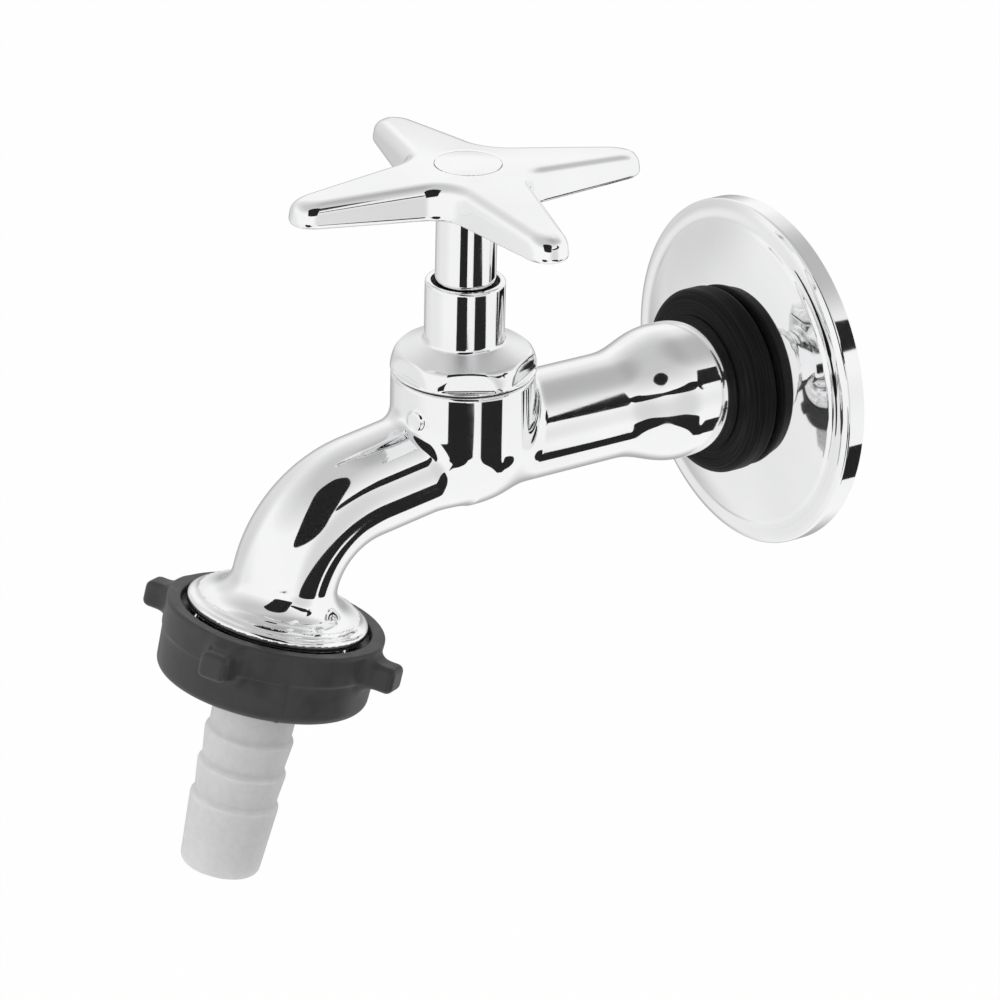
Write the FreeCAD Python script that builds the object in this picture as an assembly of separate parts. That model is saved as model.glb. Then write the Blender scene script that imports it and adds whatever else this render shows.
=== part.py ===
import FreeCAD, Part
import math
import os

# Garden tap: wall tap with a cross handle, a bent spout and a hose tail held by a union nut.
# Millimetres. Origin: centre of the wall plane on the inlet axis. +Y goes into the wall, +Z is up.

# Layout
valveToWall = 58.0          # wall plane to the spindle's axis
outletReach = 33.8          # spindle's axis to the centre of the outlet collar
outletDrop = 22.0           # inlet axis down to the centre of the outlet collar
outletTilt = 14.15          # outlet axis, degrees off plumb, leaning out at the bottom

# Fits
runFit = 0.07               # radial clearance of a turning or sliding fit
seatFit = 0.05              # radial clearance of a piece laid in a recess
looseFit = 0.15             # radial clearance of a plain clearance hole
ringFit = 0.04              # O-ring to the bore outside it and to the groove inside it
cutSpare = 1.0              # how far a cutter runs past the face that it opens

# Wall side: threaded tail, black spacer ring and wall flange
inletThreadDia = 20.96      # G 1/2
inletThreadLength = 13.0
inletThreadStart = -1.0     # where the full thread begins, on the wall axis
threadChamfer = 0.8
inletNeckDia = 19.8
inletBoreDia = 11.0
flangeDia = 58.4
flangeRim = 3.2
flangeRise = 6.6            # wall plane to the flat crown of the flange
flangeCrownDia = 30.0
flangeSheet = 0.8
flangeRound = 0.9
flangeBow = 0.55            # how far the dish bulges from a plain cone
spacerDia = 31.0
spacerThickness = 5.2
spacerRound = 1.5
spacerClearance = 0.2       # over the thread, so that the ring slides on

# Barrel
barrelDia = 17.4
barrelEndDia = 22.6
barrelEndLength = 7.5
barrelFlareLength = 11.5
barrelEndRound = 0.4

# Valve body
bodyDia = 23.0
bodyTop = 12.4
bodyTopRound = 0.6
bodyDepth = 9.3             # inlet axis to the bottom of the body
chamberDia = 18.0
chamberFloor = 1.6
seatDia = 8.0
seatRimWidth = 1.6
seatHeight = 0.8
passageWidth = 8.4
passageTop = -1.2
passageBottom = -7.2
underSeatDia = 9.2
inletWeb = 3.5              # wall between the chamber and the inlet bore
passageOverlap = 2.5        # how far the passage under the seat runs into the inlet bore
moatDia = 12.0              # inside of the channel round the seat, on the spout's side
moatDepth = 4.0
moatHalfAngle = 48.0
bodyFillet = 1.6
pipDia = 2.4
pipHeight = 7.4
pipAngle = -72.0
pipStand = 0.5

# Spout and outlet
spoutDia = 16.8
spoutBoreDia = 11.2
spoutSlope = 9.4            # degrees down from the inlet axis
spoutRootDrop = 0.4
spoutBoreStart = 7.0
collarDia = 29.0
collarEdge = 1.8
collarRound = 0.7
collarBelow = 0.6           # part of the collar's edge below the outlet plane
neckFlare = 4.4
collarCone = 0.7
outletThreadDia = 26.44     # G 3/4
outletThreadLength = 6.0
outletBoreDia = 17.0

# Bonnet
bonnetDia = 23.2
bonnetFlats = 21.2
bonnetTurn = -28.0
gasketThickness = 0.4
gasketMargin = 1.2          # the gasket stands in from the body's wall, under the flats
bonnetSkirt = 6.3
bonnetBand = 0.4            # full round band under the flats
shoulderDia = 21.5          # where the head's bowed side turns into its sloping top
shoulderHeight = 3.3
topSlope = 1.7              # shoulder up to the foot of the sleeve
sleeveDia = 12.7
sleeveLength = 10.0
sleeveRound = 0.35
sealRecessDepth = 2.4
sealRecessDia = 10.8
sealThickness = 1.4         # shallower than its recess, so a dark gap shows at the top

# Spindle
spindleDia = 9.6
spindleThreadDia = 11.76
spindleThreadLength = 6.2
spindlePitch = 2.54
spindleTurns = 1.5          # from shut to fully open
liftSpare = 0.2             # room over the spindle's thread when the tap is fully open
ringSection = 1.5
ringPitch = 2.4
ringFirst = 0.9             # guide bore's foot to the lower ring's centre, at rest
squareAcross = 6.6
squareHeight = 2.3
washerThickness = 2.6
jumperDisc = 2.0
jumperDia = 11.0
jumperStemDia = 4.0
jumperStemLength = 5.8
jumperStudDia = 3.0
stemSpare = 0.5             # room over the jumper's stem in its socket
washerDia = 10.6
washerPlateDia = 6.6
washerPlateThickness = 0.5
studNutAcross = 5.0
studNutHeight = 1.8
studProud = 0.4

# Handle
handleReach = 30.0
handleTurn = -6.0
handleSeat = 41.0
hubThickness = 6.0
hubFlatDia = 12.0
tipThickness = 3.7
tipSink = 2.0               # crown of the hub down to the top of a tip
tipWidth = 6.4
tipRound = 1.7
notchDistance = 11.0
notchRadius = 5.0
handleDraft = 0.7           # how far the top edge stands in from the foot
handleRound = 0.8
armCount = 4
squareGap = 0.1             # spindle's square stops short of the seat of the screw's washer
screwThreadDia = 4.0
screwLength = 9.0
screwHeadDia = 6.8
screwHeadHeight = 1.5
screwSlotWidth = 0.9
screwSlotDepth = 0.8
springWasherThickness = 0.5
springWasherDia = 7.2
capDia = 10.4
capThickness = 1.5
capCrown = 0.3

# Union nut and hose tail, measured along the outlet axis
nutDia = 34.4
nutTop = -0.2
nutRecessDia = 30.6
nutRecessDepth = 1.4
nutWeb = 1.8
nutRound = 1.4
nutEdge = 0.5
lugCount = 4
lugReach = 4.9
lugWidth = 5.4
lugHeight = 4.3
lugDrop = 1.3
lugRound = 1.3
lugRoot = 1.0               # how far a lug starts inside the nut's wall
lugTurn = 34.0
tailFlangeDia = 25.2
tailFlange = 1.8
hoseWasherThickness = 1.8
hoseWasherBore = 12.0
tailDia = 13.8
barbDia = 14.4
barbStep = 0.55
barbCount = 3
barbFirst = 7.8
barbPitch = 5.7
tailLength = 32.0
tailTipDia = 12.8
tailTipRound = 1.6
tailBoreDia = 9.6

# Worked out from the sizes above
spacerBack = -flangeRise
barrelEnd = spacerBack - spacerThickness
barrelLength = valveToWall + barrelEnd
gasketTop = bodyTop + gasketThickness
sleeveFoot = gasketTop + shoulderHeight + topSlope
sleeveTop = sleeveFoot + sleeveLength
guideDia = spindleDia + 2 * runFit
recessFoot = sleeveTop - sealRecessDepth
seatTop = chamberFloor + seatHeight
jumperFoot = seatTop + washerThickness
spindleFoot = jumperFoot + jumperDisc
spindleThreadTop = spindleFoot + spindleThreadLength
guideFoot = spindleThreadTop + spindlePitch * spindleTurns + liftSpare
plateFoot = seatTop - washerPlateThickness
studNutFoot = plateFoot - studNutHeight
squareTop = handleSeat + squareHeight
hubTop = handleSeat + hubThickness
capSeat = hubTop + capCrown - capThickness
screwSeat = squareTop + squareGap
collarTop = collarEdge - collarBelow
neckTop = collarTop + collarCone + neckFlare
stubEnd = -collarBelow - outletThreadLength
tailTop = stubEnd - hoseWasherThickness
webTop = tailTop - tailFlange
nutFoot = webTop - nutWeb

origin = FreeCAD.Vector(0, 0, 0)
upAxis = FreeCAD.Vector(0, 0, 1)
sideAxis = FreeCAD.Vector(1, 0, 0)
valveAxis = FreeCAD.Vector(0, -valveToWall, 0)


def turned(steps):
    """Solid of revolution about Z: steps are (r, z) corners, or (r, z, r, z) for an arc's middle and end."""
    edges = []
    here = FreeCAD.Vector(steps[0][0], 0, steps[0][1])
    for step in steps[1:] + steps[:1]:
        there = FreeCAD.Vector(step[-2], 0, step[-1])
        if len(step) == 4:
            middle = FreeCAD.Vector(step[0], 0, step[1])
            edges.append(Part.Arc(here, middle, there).toShape())
        elif (there - here).Length > 1e-6:
            edges.append(Part.LineSegment(here, there).toShape())
        here = there
    return Part.Face(Part.Wire(edges)).revolve(origin, upAxis, 360)


def roundMiddle(r, z, radius, angle):
    """Middle point of an arc of this radius about (r, z)."""
    turn = math.radians(angle)
    return r + radius * math.cos(turn), z + radius * math.sin(turn)


def disc(dia, low, high, bore=0.0):
    solid = Part.makeCylinder(dia / 2, high - low, FreeCAD.Vector(0, 0, low))
    if bore:
        solid = solid.cut(Part.makeCylinder(bore / 2, high - low, FreeCAD.Vector(0, 0, low)))
    return solid


def onInlet(solid):
    """From the Z axis onto the inlet axis, with +Z going to +Y."""
    solid.rotate(origin, sideAxis, -90)
    return solid


def onWall(solid):
    """From the Z axis onto the inlet axis, with +Z going to -Y, away from the wall."""
    solid.rotate(origin, sideAxis, 90)
    return solid


def onValve(solid):
    """From the valve's own frame, with the spindle on its Z axis, to its place off the wall."""
    solid.translate(valveAxis)
    return solid


def onOutlet(solid):
    """From the Z axis onto the tilted outlet axis, in the valve's own frame."""
    solid.rotate(origin, sideAxis, -outletTilt)
    solid.translate(FreeCAD.Vector(0, -outletReach, -outletDrop))
    return solid


def hexagon(across, low, high):
    corners = []
    for k in range(7):
        turn = math.radians(60 * k + 30)
        radius = across / 2 / math.cos(math.radians(30))
        corners.append(FreeCAD.Vector(radius * math.cos(turn), radius * math.sin(turn), low))
    return Part.Face(Part.makePolygon(corners)).extrude(FreeCAD.Vector(0, 0, high - low))


def spoutWire(startReach, endRise):
    """Centreline of the spout: a sloping leg, then one bend onto the outlet axis that ends at the neck."""
    slope = math.radians(spoutSlope)
    tilt = math.radians(outletTilt)
    outward = FreeCAD.Vector(0, -math.cos(slope), -math.sin(slope))
    downward = FreeCAD.Vector(0, -math.sin(tilt), -math.cos(tilt))
    root = FreeCAD.Vector(0, 0, -spoutRootDrop)
    outlet = FreeCAD.Vector(0, -outletReach, -outletDrop)
    across = outlet - root
    det = outward.y * downward.z - outward.z * downward.y
    run = (across.y * downward.z - across.z * downward.y) / det
    corner = root + outward * run
    tangent = (outlet - corner).Length - neckTop
    halfTurn = math.radians(90 - spoutSlope - outletTilt) / 2
    bend = tangent / math.tan(halfTurn)
    inward = (downward - outward).normalize()
    middle = corner + inward * (bend / math.cos(halfTurn) - bend)
    start = root + outward * startReach
    bendStart = corner - outward * tangent
    bendEnd = corner + downward * tangent
    legs = [Part.LineSegment(start, bendStart).toShape(), Part.Arc(bendStart, middle, bendEnd).toShape()]
    if endRise < neckTop:
        legs.append(Part.LineSegment(bendEnd, outlet - downward * endRise).toShape())
    return Part.Wire(legs), start, outward


def spoutTube(dia, startReach, endRise):
    wire, start, outward = spoutWire(startReach, endRise)
    section = Part.Wire([Part.Circle(start, outward, dia / 2).toShape()])
    return wire.makePipeShell([section], True, False)


def barrelOuter():
    """Straight tube that opens in an easy double curve to the end by the spacer ring."""
    tubeR = barrelDia / 2
    endR = barrelEndDia / 2
    rise = endR - tubeR
    curve = (barrelFlareLength ** 2 + rise ** 2) / (4 * rise)
    flareEnd = barrelLength - barrelEndLength
    flareStart = flareEnd - barrelFlareLength
    middle = (flareStart + barrelFlareLength / 2, tubeR + rise / 2)
    half = math.asin(barrelFlareLength / 2 / curve)
    bowIn = (tubeR + curve - curve * math.cos(half / 2), flareStart + curve * math.sin(half / 2))
    bowOut = (endR - curve + curve * math.cos(half / 2), flareEnd - curve * math.sin(half / 2))
    edge = roundMiddle(endR - barrelEndRound, barrelLength - barrelEndRound, barrelEndRound, 45)
    return onInlet(turned([(0, 0), (tubeR, 0), (tubeR, flareStart), bowIn + (middle[1], middle[0]),
                           bowOut + (endR, flareEnd), (endR, barrelLength - barrelEndRound),
                           edge + (endR - barrelEndRound, barrelLength), (0, barrelLength)]))


def inletTail():
    """Relieved neck and G 1/2 thread that go through the ring and flange into the wall fitting."""
    crest = inletThreadDia / 2
    low = valveToWall + inletThreadStart
    high = low + inletThreadLength
    neck = disc(inletNeckDia, barrelLength - cutSpare, low)
    thread = turned([(0, low - threadChamfer), (crest - threadChamfer, low - threadChamfer), (crest, low),
                     (crest, high), (crest - threadChamfer, high + threadChamfer), (0, high + threadChamfer)])
    return onInlet(neck.fuse(thread))


def bodyCore():
    """Upright cup: straight wall with a round bottom and a rounded top edge."""
    wall = bodyDia / 2
    centre = wall - bodyDepth
    edge = roundMiddle(wall - bodyTopRound, bodyTop - bodyTopRound, bodyTopRound, 45)
    return turned([(0, bodyTop), (wall - bodyTopRound, bodyTop), edge + (wall, bodyTop - bodyTopRound),
                   (wall, centre), roundMiddle(0, centre, wall, -45) + (0, -bodyDepth)])


def outletCollar():
    """Flared neck and round collar, with the G 3/4 thread below it."""
    neckR = spoutDia / 2
    collarR = collarDia / 2
    curveFoot = (neckR + neckFlare, collarTop + collarCone)
    curveMiddle = roundMiddle(neckR + neckFlare, neckTop, neckFlare, 225)
    edgeTop = roundMiddle(collarR - collarRound, collarTop - collarRound, collarRound, 45)
    edgeFoot = roundMiddle(collarR - collarRound, collarRound - collarBelow, collarRound, -45)
    crest = outletThreadDia / 2
    stub = [(0, stubEnd), (crest - threadChamfer, stubEnd), (crest, stubEnd + threadChamfer)]
    return onOutlet(turned(stub + [
        (crest, -collarBelow), (collarR - collarRound, -collarBelow),
        edgeFoot + (collarR, collarRound - collarBelow), (collarR, collarTop - collarRound),
        edgeTop + (collarR - collarRound, collarTop), curveFoot,
        curveMiddle + (neckR, neckTop), (0, neckTop)]))


def castingPip():
    pip = Part.makeCylinder(pipDia / 2, bodyDia / 2 + pipStand)
    pip.rotate(origin, FreeCAD.Vector(0, 1, 0), 90)
    pip.rotate(origin, upAxis, pipAngle)
    pip.translate(FreeCAD.Vector(0, 0, pipHeight))
    return pip


def waterway():
    """Everything that is hollow inside the casting, from the inlet to the outlet."""
    chamber = disc(chamberDia, chamberFloor, bodyTop + cutSpare)
    rim = disc(seatDia + 2 * seatRimWidth, chamberFloor, seatTop)
    chamber = chamber.cut(rim)
    orifice = disc(seatDia, passageTop - cutSpare, seatTop + cutSpare)
    underSeat = disc(underSeatDia, passageBottom, passageTop)
    boreStart = chamberDia / 2 + inletWeb
    passageEnd = boreStart + passageOverlap
    halfHeight = (passageTop - passageBottom) / 2
    middleHeight = (passageTop + passageBottom) / 2
    halfWidth = passageWidth / 2 - halfHeight
    passage = Part.makeBox(2 * halfWidth, passageEnd, 2 * halfHeight,
                           FreeCAD.Vector(-halfWidth, 0, passageBottom))
    for side in (-1, 1):
        centre = FreeCAD.Vector(side * halfWidth, 0, middleHeight)
        passage = passage.fuse(Part.makeCylinder(halfHeight, passageEnd, centre, FreeCAD.Vector(0, 1, 0)))
    tailEnd = valveToWall + inletThreadStart + inletThreadLength + threadChamfer + cutSpare
    inlet = Part.makeCylinder(inletBoreDia / 2, tailEnd - boreStart, FreeCAD.Vector(0, boreStart, 0),
                              FreeCAD.Vector(0, 1, 0))
    base = chamberFloor - moatDepth
    moat = disc(chamberDia, base, chamberFloor, moatDia)
    wedgeReach = bodyDia
    spread = wedgeReach * math.tan(math.radians(moatHalfAngle))
    wedge = Part.Face(Part.makePolygon([
        FreeCAD.Vector(0, 0, base), FreeCAD.Vector(-spread, -wedgeReach, base),
        FreeCAD.Vector(spread, -wedgeReach, base), FreeCAD.Vector(0, 0, base)]))
    moat = moat.common(wedge.extrude(FreeCAD.Vector(0, 0, moatDepth)))
    outlet = spoutTube(spoutBoreDia, spoutBoreStart, 0)
    mouth = onOutlet(disc(outletBoreDia, stubEnd - cutSpare, collarTop))
    return chamber.multiFuse([orifice, underSeat, passage, inlet, moat, outlet, mouth])


def creaseEdges(solid):
    """Edges where the barrel and the spout run into the upright body, without the pip's own edge."""
    found = []
    for edge in solid.Edges:
        if edge.Length < math.pi * pipDia * 2:
            continue
        box = edge.BoundBox
        reach = max(abs(box.YMin), abs(box.YMax))
        if edge.Curve.TypeId == "Part::GeomBSplineCurve" and reach < bodyDia / 2 + cutSpare:
            found.append(edge)
    return found


def valveBody():
    spout = spoutTube(spoutDia, 0, neckTop)
    outer = bodyCore().multiFuse([barrelOuter(), spout, castingPip()]).removeSplitter()
    outer = outer.makeFillet(bodyFillet, creaseEdges(outer))
    outer = outer.multiFuse([outletCollar(), inletTail()])
    return onValve(outer.cut(waterway()))


def wallFlange():
    rimR = flangeDia / 2
    crownR = flangeCrownDia / 2
    holeR = inletThreadDia / 2 + spacerClearance
    shoulderR = rimR - flangeRound
    innerR = rimR - flangeSheet
    outerDome = ((shoulderR + crownR) / 2, (flangeRim + flangeRise) / 2 + flangeBow)
    innerDome = (outerDome[0] - flangeSheet / 4, outerDome[1] - flangeSheet)
    edge = roundMiddle(shoulderR, flangeRim - flangeRound, flangeRound, 45)
    return onWall(turned([
        (rimR, 0), (rimR, flangeRim - flangeRound), edge + (shoulderR, flangeRim),
        outerDome + (crownR, flangeRise), (holeR, flangeRise), (holeR, flangeRise - flangeSheet),
        (crownR, flangeRise - flangeSheet), innerDome + (innerR, flangeRim - flangeSheet), (innerR, 0)]))


def spacerRing():
    outR = spacerDia / 2
    holeR = inletThreadDia / 2 + spacerClearance
    low = flangeRise
    high = flangeRise + spacerThickness
    front = roundMiddle(outR - spacerRound, high - spacerRound, spacerRound, 45)
    back = roundMiddle(outR - spacerRound, low + spacerRound, spacerRound, -45)
    return onWall(turned([
        (holeR, low), (outR - spacerRound, low), back + (outR, low + spacerRound),
        (outR, high - spacerRound), front + (outR - spacerRound, high), (holeR, high)]))


def bonnetGasket():
    return onValve(disc(bodyDia - 2 * gasketMargin, bodyTop, gasketTop, chamberDia))


def bonnet():
    """Hexagon head, threaded skirt and plain sleeve that guides the spindle."""
    outR = bonnetDia / 2
    sleeveR = sleeveDia / 2
    bandTop = gasketTop + bonnetBand
    shoulderR = shoulderDia / 2
    rise = shoulderHeight - bonnetBand
    bowR = (rise ** 2 + (outR - shoulderR) ** 2) / (2 * (outR - shoulderR))
    bow = roundMiddle(outR - bowR, bandTop, bowR, math.degrees(math.asin(rise / bowR)) / 2)
    rim = roundMiddle(sleeveR - sleeveRound, sleeveTop - sleeveRound, sleeveRound, 45)
    boreR = spindleThreadDia / 2 + runFit
    skirtR = chamberDia / 2 - runFit
    skirtFoot = gasketTop - bonnetSkirt
    blank = turned([
        (boreR, skirtFoot), (skirtR, skirtFoot), (skirtR, gasketTop), (outR, gasketTop),
        (outR, bandTop), bow + (shoulderR, gasketTop + shoulderHeight), (sleeveR, sleeveFoot),
        (sleeveR, sleeveTop - sleeveRound), rim + (sleeveR - sleeveRound, sleeveTop),
        (sealRecessDia / 2, sleeveTop), (sealRecessDia / 2, recessFoot), (guideDia / 2, recessFoot),
        (guideDia / 2, guideFoot), (boreR, guideFoot)])
    flats = hexagon(bonnetFlats, bandTop, sleeveTop + cutSpare)
    flats.rotate(origin, upAxis, bonnetTurn)
    band = disc(bonnetDia, skirtFoot - cutSpare, bandTop)
    return onValve(blank.common(flats.fuse(band)))


def dustSeal():
    return onValve(disc(sealRecessDia - 2 * seatFit, recessFoot, recessFoot + sealThickness,
                        spindleDia + 2 * runFit))


def ringCentre(index):
    return guideFoot + ringFirst + index * ringPitch


def spindleRing(index):
    """O-ring that rides in a groove of the spindle and wipes the sleeve's bore."""
    section = ringSection / 2
    middleR = guideDia / 2 - ringFit - section
    return onValve(Part.makeTorus(middleR, section, FreeCAD.Vector(0, 0, ringCentre(index))))


def spindle():
    threadR = spindleThreadDia / 2
    shaftR = spindleDia / 2
    shaft = turned([
        (0, spindleFoot), (threadR - threadChamfer, spindleFoot), (threadR, spindleFoot + threadChamfer),
        (threadR, spindleThreadTop - threadChamfer), (threadR - threadChamfer, spindleThreadTop),
        (shaftR, spindleThreadTop), (shaftR, handleSeat), (0, handleSeat)])
    half = squareAcross / 2
    drive = Part.makeBox(squareAcross, squareAcross, squareHeight, FreeCAD.Vector(-half, -half, handleSeat))
    drive.rotate(origin, upAxis, handleTurn)
    shaft = shaft.fuse(drive)
    grooveR = guideDia / 2 - ringSection - 2 * ringFit
    for index in range(2):
        low = ringCentre(index) - ringSection / 2 - seatFit
        high = ringCentre(index) + ringSection / 2 + seatFit
        shaft = shaft.cut(disc(spindleDia + cutSpare, low, high, 2 * grooveR))
    socket = disc(jumperStemDia + 2 * runFit, spindleFoot, spindleFoot + jumperStemLength + stemSpare)
    tapped = disc(screwThreadDia + 2 * seatFit, screwSeat - screwLength - cutSpare, squareTop)
    return onValve(shaft.cut(socket).cut(tapped))


def jumperValve():
    plate = disc(jumperDia, jumperFoot, spindleFoot)
    stem = disc(jumperStemDia, spindleFoot, spindleFoot + jumperStemLength)
    stud = disc(jumperStudDia, studNutFoot - studProud, jumperFoot)
    return onValve(plate.multiFuse([stem, stud]))


def seatWasher():
    return onValve(disc(washerDia, seatTop, jumperFoot, jumperStudDia + 2 * seatFit))


def washerPlate():
    return onValve(disc(washerPlateDia, plateFoot, seatTop, jumperStudDia + 2 * seatFit))


def washerNut():
    nut = hexagon(studNutAcross, studNutFoot, plateFoot)
    return onValve(nut.cut(disc(jumperStudDia + 2 * seatFit, studNutFoot, plateFoot)))


def starWire(inset, height):
    """Outline of the cross handle, drawn in by inset, with a rounded notch between each pair of arms."""
    diagonal = math.cos(math.radians(45))
    half = tipWidth / 2 - inset
    reach = handleReach - inset
    notchR = notchRadius + inset
    centre = (notchDistance + notchRadius) * diagonal
    notch = (notchDistance - inset) * diagonal
    bend = tipRound * (1 - diagonal)
    across = reach - tipRound - centre
    lean = math.asin(notchR / math.hypot(across, centre - half)) - math.atan2(centre - half, across)
    touch = (centre + notchR * math.sin(lean), centre - notchR * math.cos(lean))
    edges = []
    for k in range(armCount):
        spin = math.radians(360 / armCount * k + handleTurn)

        def at(x, y):
            return FreeCAD.Vector(x * math.cos(spin) - y * math.sin(spin),
                                  x * math.sin(spin) + y * math.cos(spin), height)

        def line(start, end):
            return Part.LineSegment(at(*start), at(*end)).toShape()

        def arc(start, middle, end):
            return Part.Arc(at(*start), at(*middle), at(*end)).toShape()

        tipLow = (reach, tipRound - half)
        tipHigh = (reach, half - tipRound)
        flankEnd = (reach - tipRound, half)
        edges.append(line(tipLow, tipHigh))
        edges.append(arc(tipHigh, (reach - bend, half - bend), flankEnd))
        edges.append(line(flankEnd, touch))
        edges.append(arc(touch, (notch, notch), touch[::-1]))
        edges.append(line(touch[::-1], flankEnd[::-1]))
        edges.append(arc(flankEnd[::-1], (half - bend, reach - bend), tipHigh[::-1]))
    return Part.Wire(Part.__sortEdges__(edges))


def handle():
    """Cross handle: thick at the hub, thinner at the tips, with sloping flanks and rounded top edges."""
    bottomR = hubFlatDia / 2
    tipTop = hubTop - tipSink
    tipFoot = tipTop - tipThickness
    outer = handleReach + cutSpare
    envelope = turned([(0, handleSeat), (bottomR, handleSeat), (outer, tipFoot), (outer, tipTop),
                       (bottomR, hubTop), (0, hubTop)])
    foot = starWire(0, handleSeat - cutSpare)
    crown = starWire(handleDraft, hubTop + cutSpare)
    arms = Part.makeLoft([foot, crown], True, True).common(envelope)
    topEdges = [edge for edge in arms.Edges if edge.BoundBox.ZMin > tipTop - handleRound / 2]
    arms = arms.makeFillet(handleRound, topEdges)
    half = squareAcross / 2 + seatFit
    square = Part.makeBox(2 * half, 2 * half, screwSeat - handleSeat + 2 * cutSpare,
                          FreeCAD.Vector(-half, -half, handleSeat - cutSpare))
    square.rotate(origin, upAxis, handleTurn)
    screwWell = disc(springWasherDia + 4 * seatFit, screwSeat, capSeat + cutSpare)
    capWell = disc(capDia + 2 * seatFit, capSeat, hubTop + cutSpare)
    return onValve(arms.cut(square).cut(screwWell).cut(capWell))


def springWasher():
    return onValve(disc(springWasherDia, screwSeat, screwSeat + springWasherThickness,
                        screwThreadDia + 2 * looseFit))


def handleScrew():
    headFoot = screwSeat + springWasherThickness
    headTop = headFoot + screwHeadHeight
    head = disc(screwHeadDia, headFoot, headTop)
    shank = disc(screwThreadDia, headFoot - screwLength, headFoot)
    slot = Part.makeBox(screwHeadDia, screwSlotWidth, screwSlotDepth,
                        FreeCAD.Vector(-screwHeadDia / 2, -screwSlotWidth / 2, headTop - screwSlotDepth))
    return onValve(head.fuse(shank).cut(slot))


def handleCap():
    """Plain round button over the screw."""
    edge = capDia / 2
    top = capSeat + capThickness
    crownR = (edge ** 2 + capCrown ** 2) / (2 * capCrown)
    half = math.degrees(math.asin(edge / crownR)) / 2
    return onValve(turned([(0, capSeat), (edge, capSeat), (edge, top - capCrown),
                           roundMiddle(0, top - crownR, crownR, 90 - half) + (0, top)]))


def unionNut():
    outR = nutDia / 2
    threadR = outletThreadDia / 2 + runFit
    holeR = tailDia / 2 + runFit
    lipFoot = nutTop - nutRecessDepth
    topEdge = roundMiddle(outR - nutEdge, nutTop - nutEdge, nutEdge, 45)
    footEdge = roundMiddle(outR - nutRound, nutFoot + nutRound, nutRound, -45)
    shell = turned([
        (holeR, nutFoot), (outR - nutRound, nutFoot), footEdge + (outR, nutFoot + nutRound),
        (outR, nutTop - nutEdge), topEdge + (outR - nutEdge, nutTop), (nutRecessDia / 2, nutTop),
        (nutRecessDia / 2, lipFoot), (threadR, lipFoot), (threadR, webTop), (holeR, webTop)])
    for k in range(lugCount):
        shell = shell.fuse(nutLug(360 / lugCount * k + lugTurn))
    return onValve(onOutlet(shell))


def nutLug(angle):
    """Rounded ear to turn the nut by."""
    rootR = nutDia / 2 - lugRoot
    tipR = nutDia / 2 + lugReach
    high = nutTop - lugDrop
    low = high - lugHeight
    lug = Part.makeBox(tipR - rootR, lugWidth, lugHeight, FreeCAD.Vector(rootR, -lugWidth / 2, low))
    outward = [edge for edge in lug.Edges if edge.BoundBox.XMax > tipR - lugRound]
    lug = lug.makeFillet(lugRound, outward)
    lug.rotate(origin, upAxis, angle)
    return lug


def hoseWasher():
    return onValve(onOutlet(disc(tailFlangeDia, tailTop, stubEnd, hoseWasherBore)))


def hoseTail():
    """Flanged tail with three barbs and a smooth tapering end."""
    rootR = tailDia / 2
    peakR = barbDia / 2
    valleyR = peakR - barbStep
    tipR = tailTipDia / 2
    end = nutFoot - tailLength
    profile = [(tailBoreDia / 2, tailTop), (tailFlangeDia / 2, tailTop), (tailFlangeDia / 2, webTop),
               (rootR, webTop), (rootR, nutFoot), (valleyR, nutFoot - barbFirst)]
    for k in range(barbCount):
        top = nutFoot - barbFirst - k * barbPitch
        profile.append((peakR, top - barbStep))
        if k < barbCount - 1:
            profile.append((valleyR, top - barbPitch))
    tip = roundMiddle(tipR - tailTipRound, end + tailTipRound, tailTipRound, -45)
    profile += [(tipR, end + tailTipRound), tip + (tipR - tailTipRound, end), (tailBoreDia / 2, end)]
    return onValve(onOutlet(turned(profile)))


pieces = {
    "valve_body": valveBody,
    "wall_flange": wallFlange,
    "spacer_ring": spacerRing,
    "bonnet_gasket": bonnetGasket,
    "bonnet": bonnet,
    "dust_seal": dustSeal,
    "spindle": spindle,
    "spindle_ring_lower": lambda: spindleRing(0),
    "spindle_ring_upper": lambda: spindleRing(1),
    "jumper_valve": jumperValve,
    "seat_washer": seatWasher,
    "washer_plate": washerPlate,
    "washer_nut": washerNut,
    "handle": handle,
    "spring_washer": springWasher,
    "handle_screw": handleScrew,
    "handle_cap": handleCap,
    "union_nut": unionNut,
    "hose_washer": hoseWasher,
    "hose_tail": hoseTail,
}

os.makedirs("parts", exist_ok=True)
for name, build in pieces.items():
    shape = build()
    if len(shape.Solids) == 1:
        shape = shape.Solids[0]
    shape.exportStep("parts/" + name + ".step")
    print(name, len(shape.Solids), round(shape.Volume, 1), shape.isValid())
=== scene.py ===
import math
import bpy
import bmesh
import numpy as np
from mathutils import Matrix, Vector


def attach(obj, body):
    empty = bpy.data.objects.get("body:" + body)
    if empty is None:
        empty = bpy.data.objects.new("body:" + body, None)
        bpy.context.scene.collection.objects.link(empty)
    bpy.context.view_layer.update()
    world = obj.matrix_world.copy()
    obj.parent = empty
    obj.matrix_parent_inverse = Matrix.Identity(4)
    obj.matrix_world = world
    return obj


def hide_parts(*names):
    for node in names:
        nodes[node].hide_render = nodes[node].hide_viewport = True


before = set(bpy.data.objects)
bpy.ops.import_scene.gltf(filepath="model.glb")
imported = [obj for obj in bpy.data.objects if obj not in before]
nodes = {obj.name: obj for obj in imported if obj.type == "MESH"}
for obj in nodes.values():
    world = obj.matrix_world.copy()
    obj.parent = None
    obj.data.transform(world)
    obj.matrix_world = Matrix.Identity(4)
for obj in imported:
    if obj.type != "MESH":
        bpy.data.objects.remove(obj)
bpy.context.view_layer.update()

mm = 0.001

# Places shared by several pieces, in millimetres from the middle of the wall plane
valveY = -58.0
outletY = -91.8
outletZ = -22.0
outletTilt = 14.15                                          # degrees, away from the wall on its way down


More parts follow.
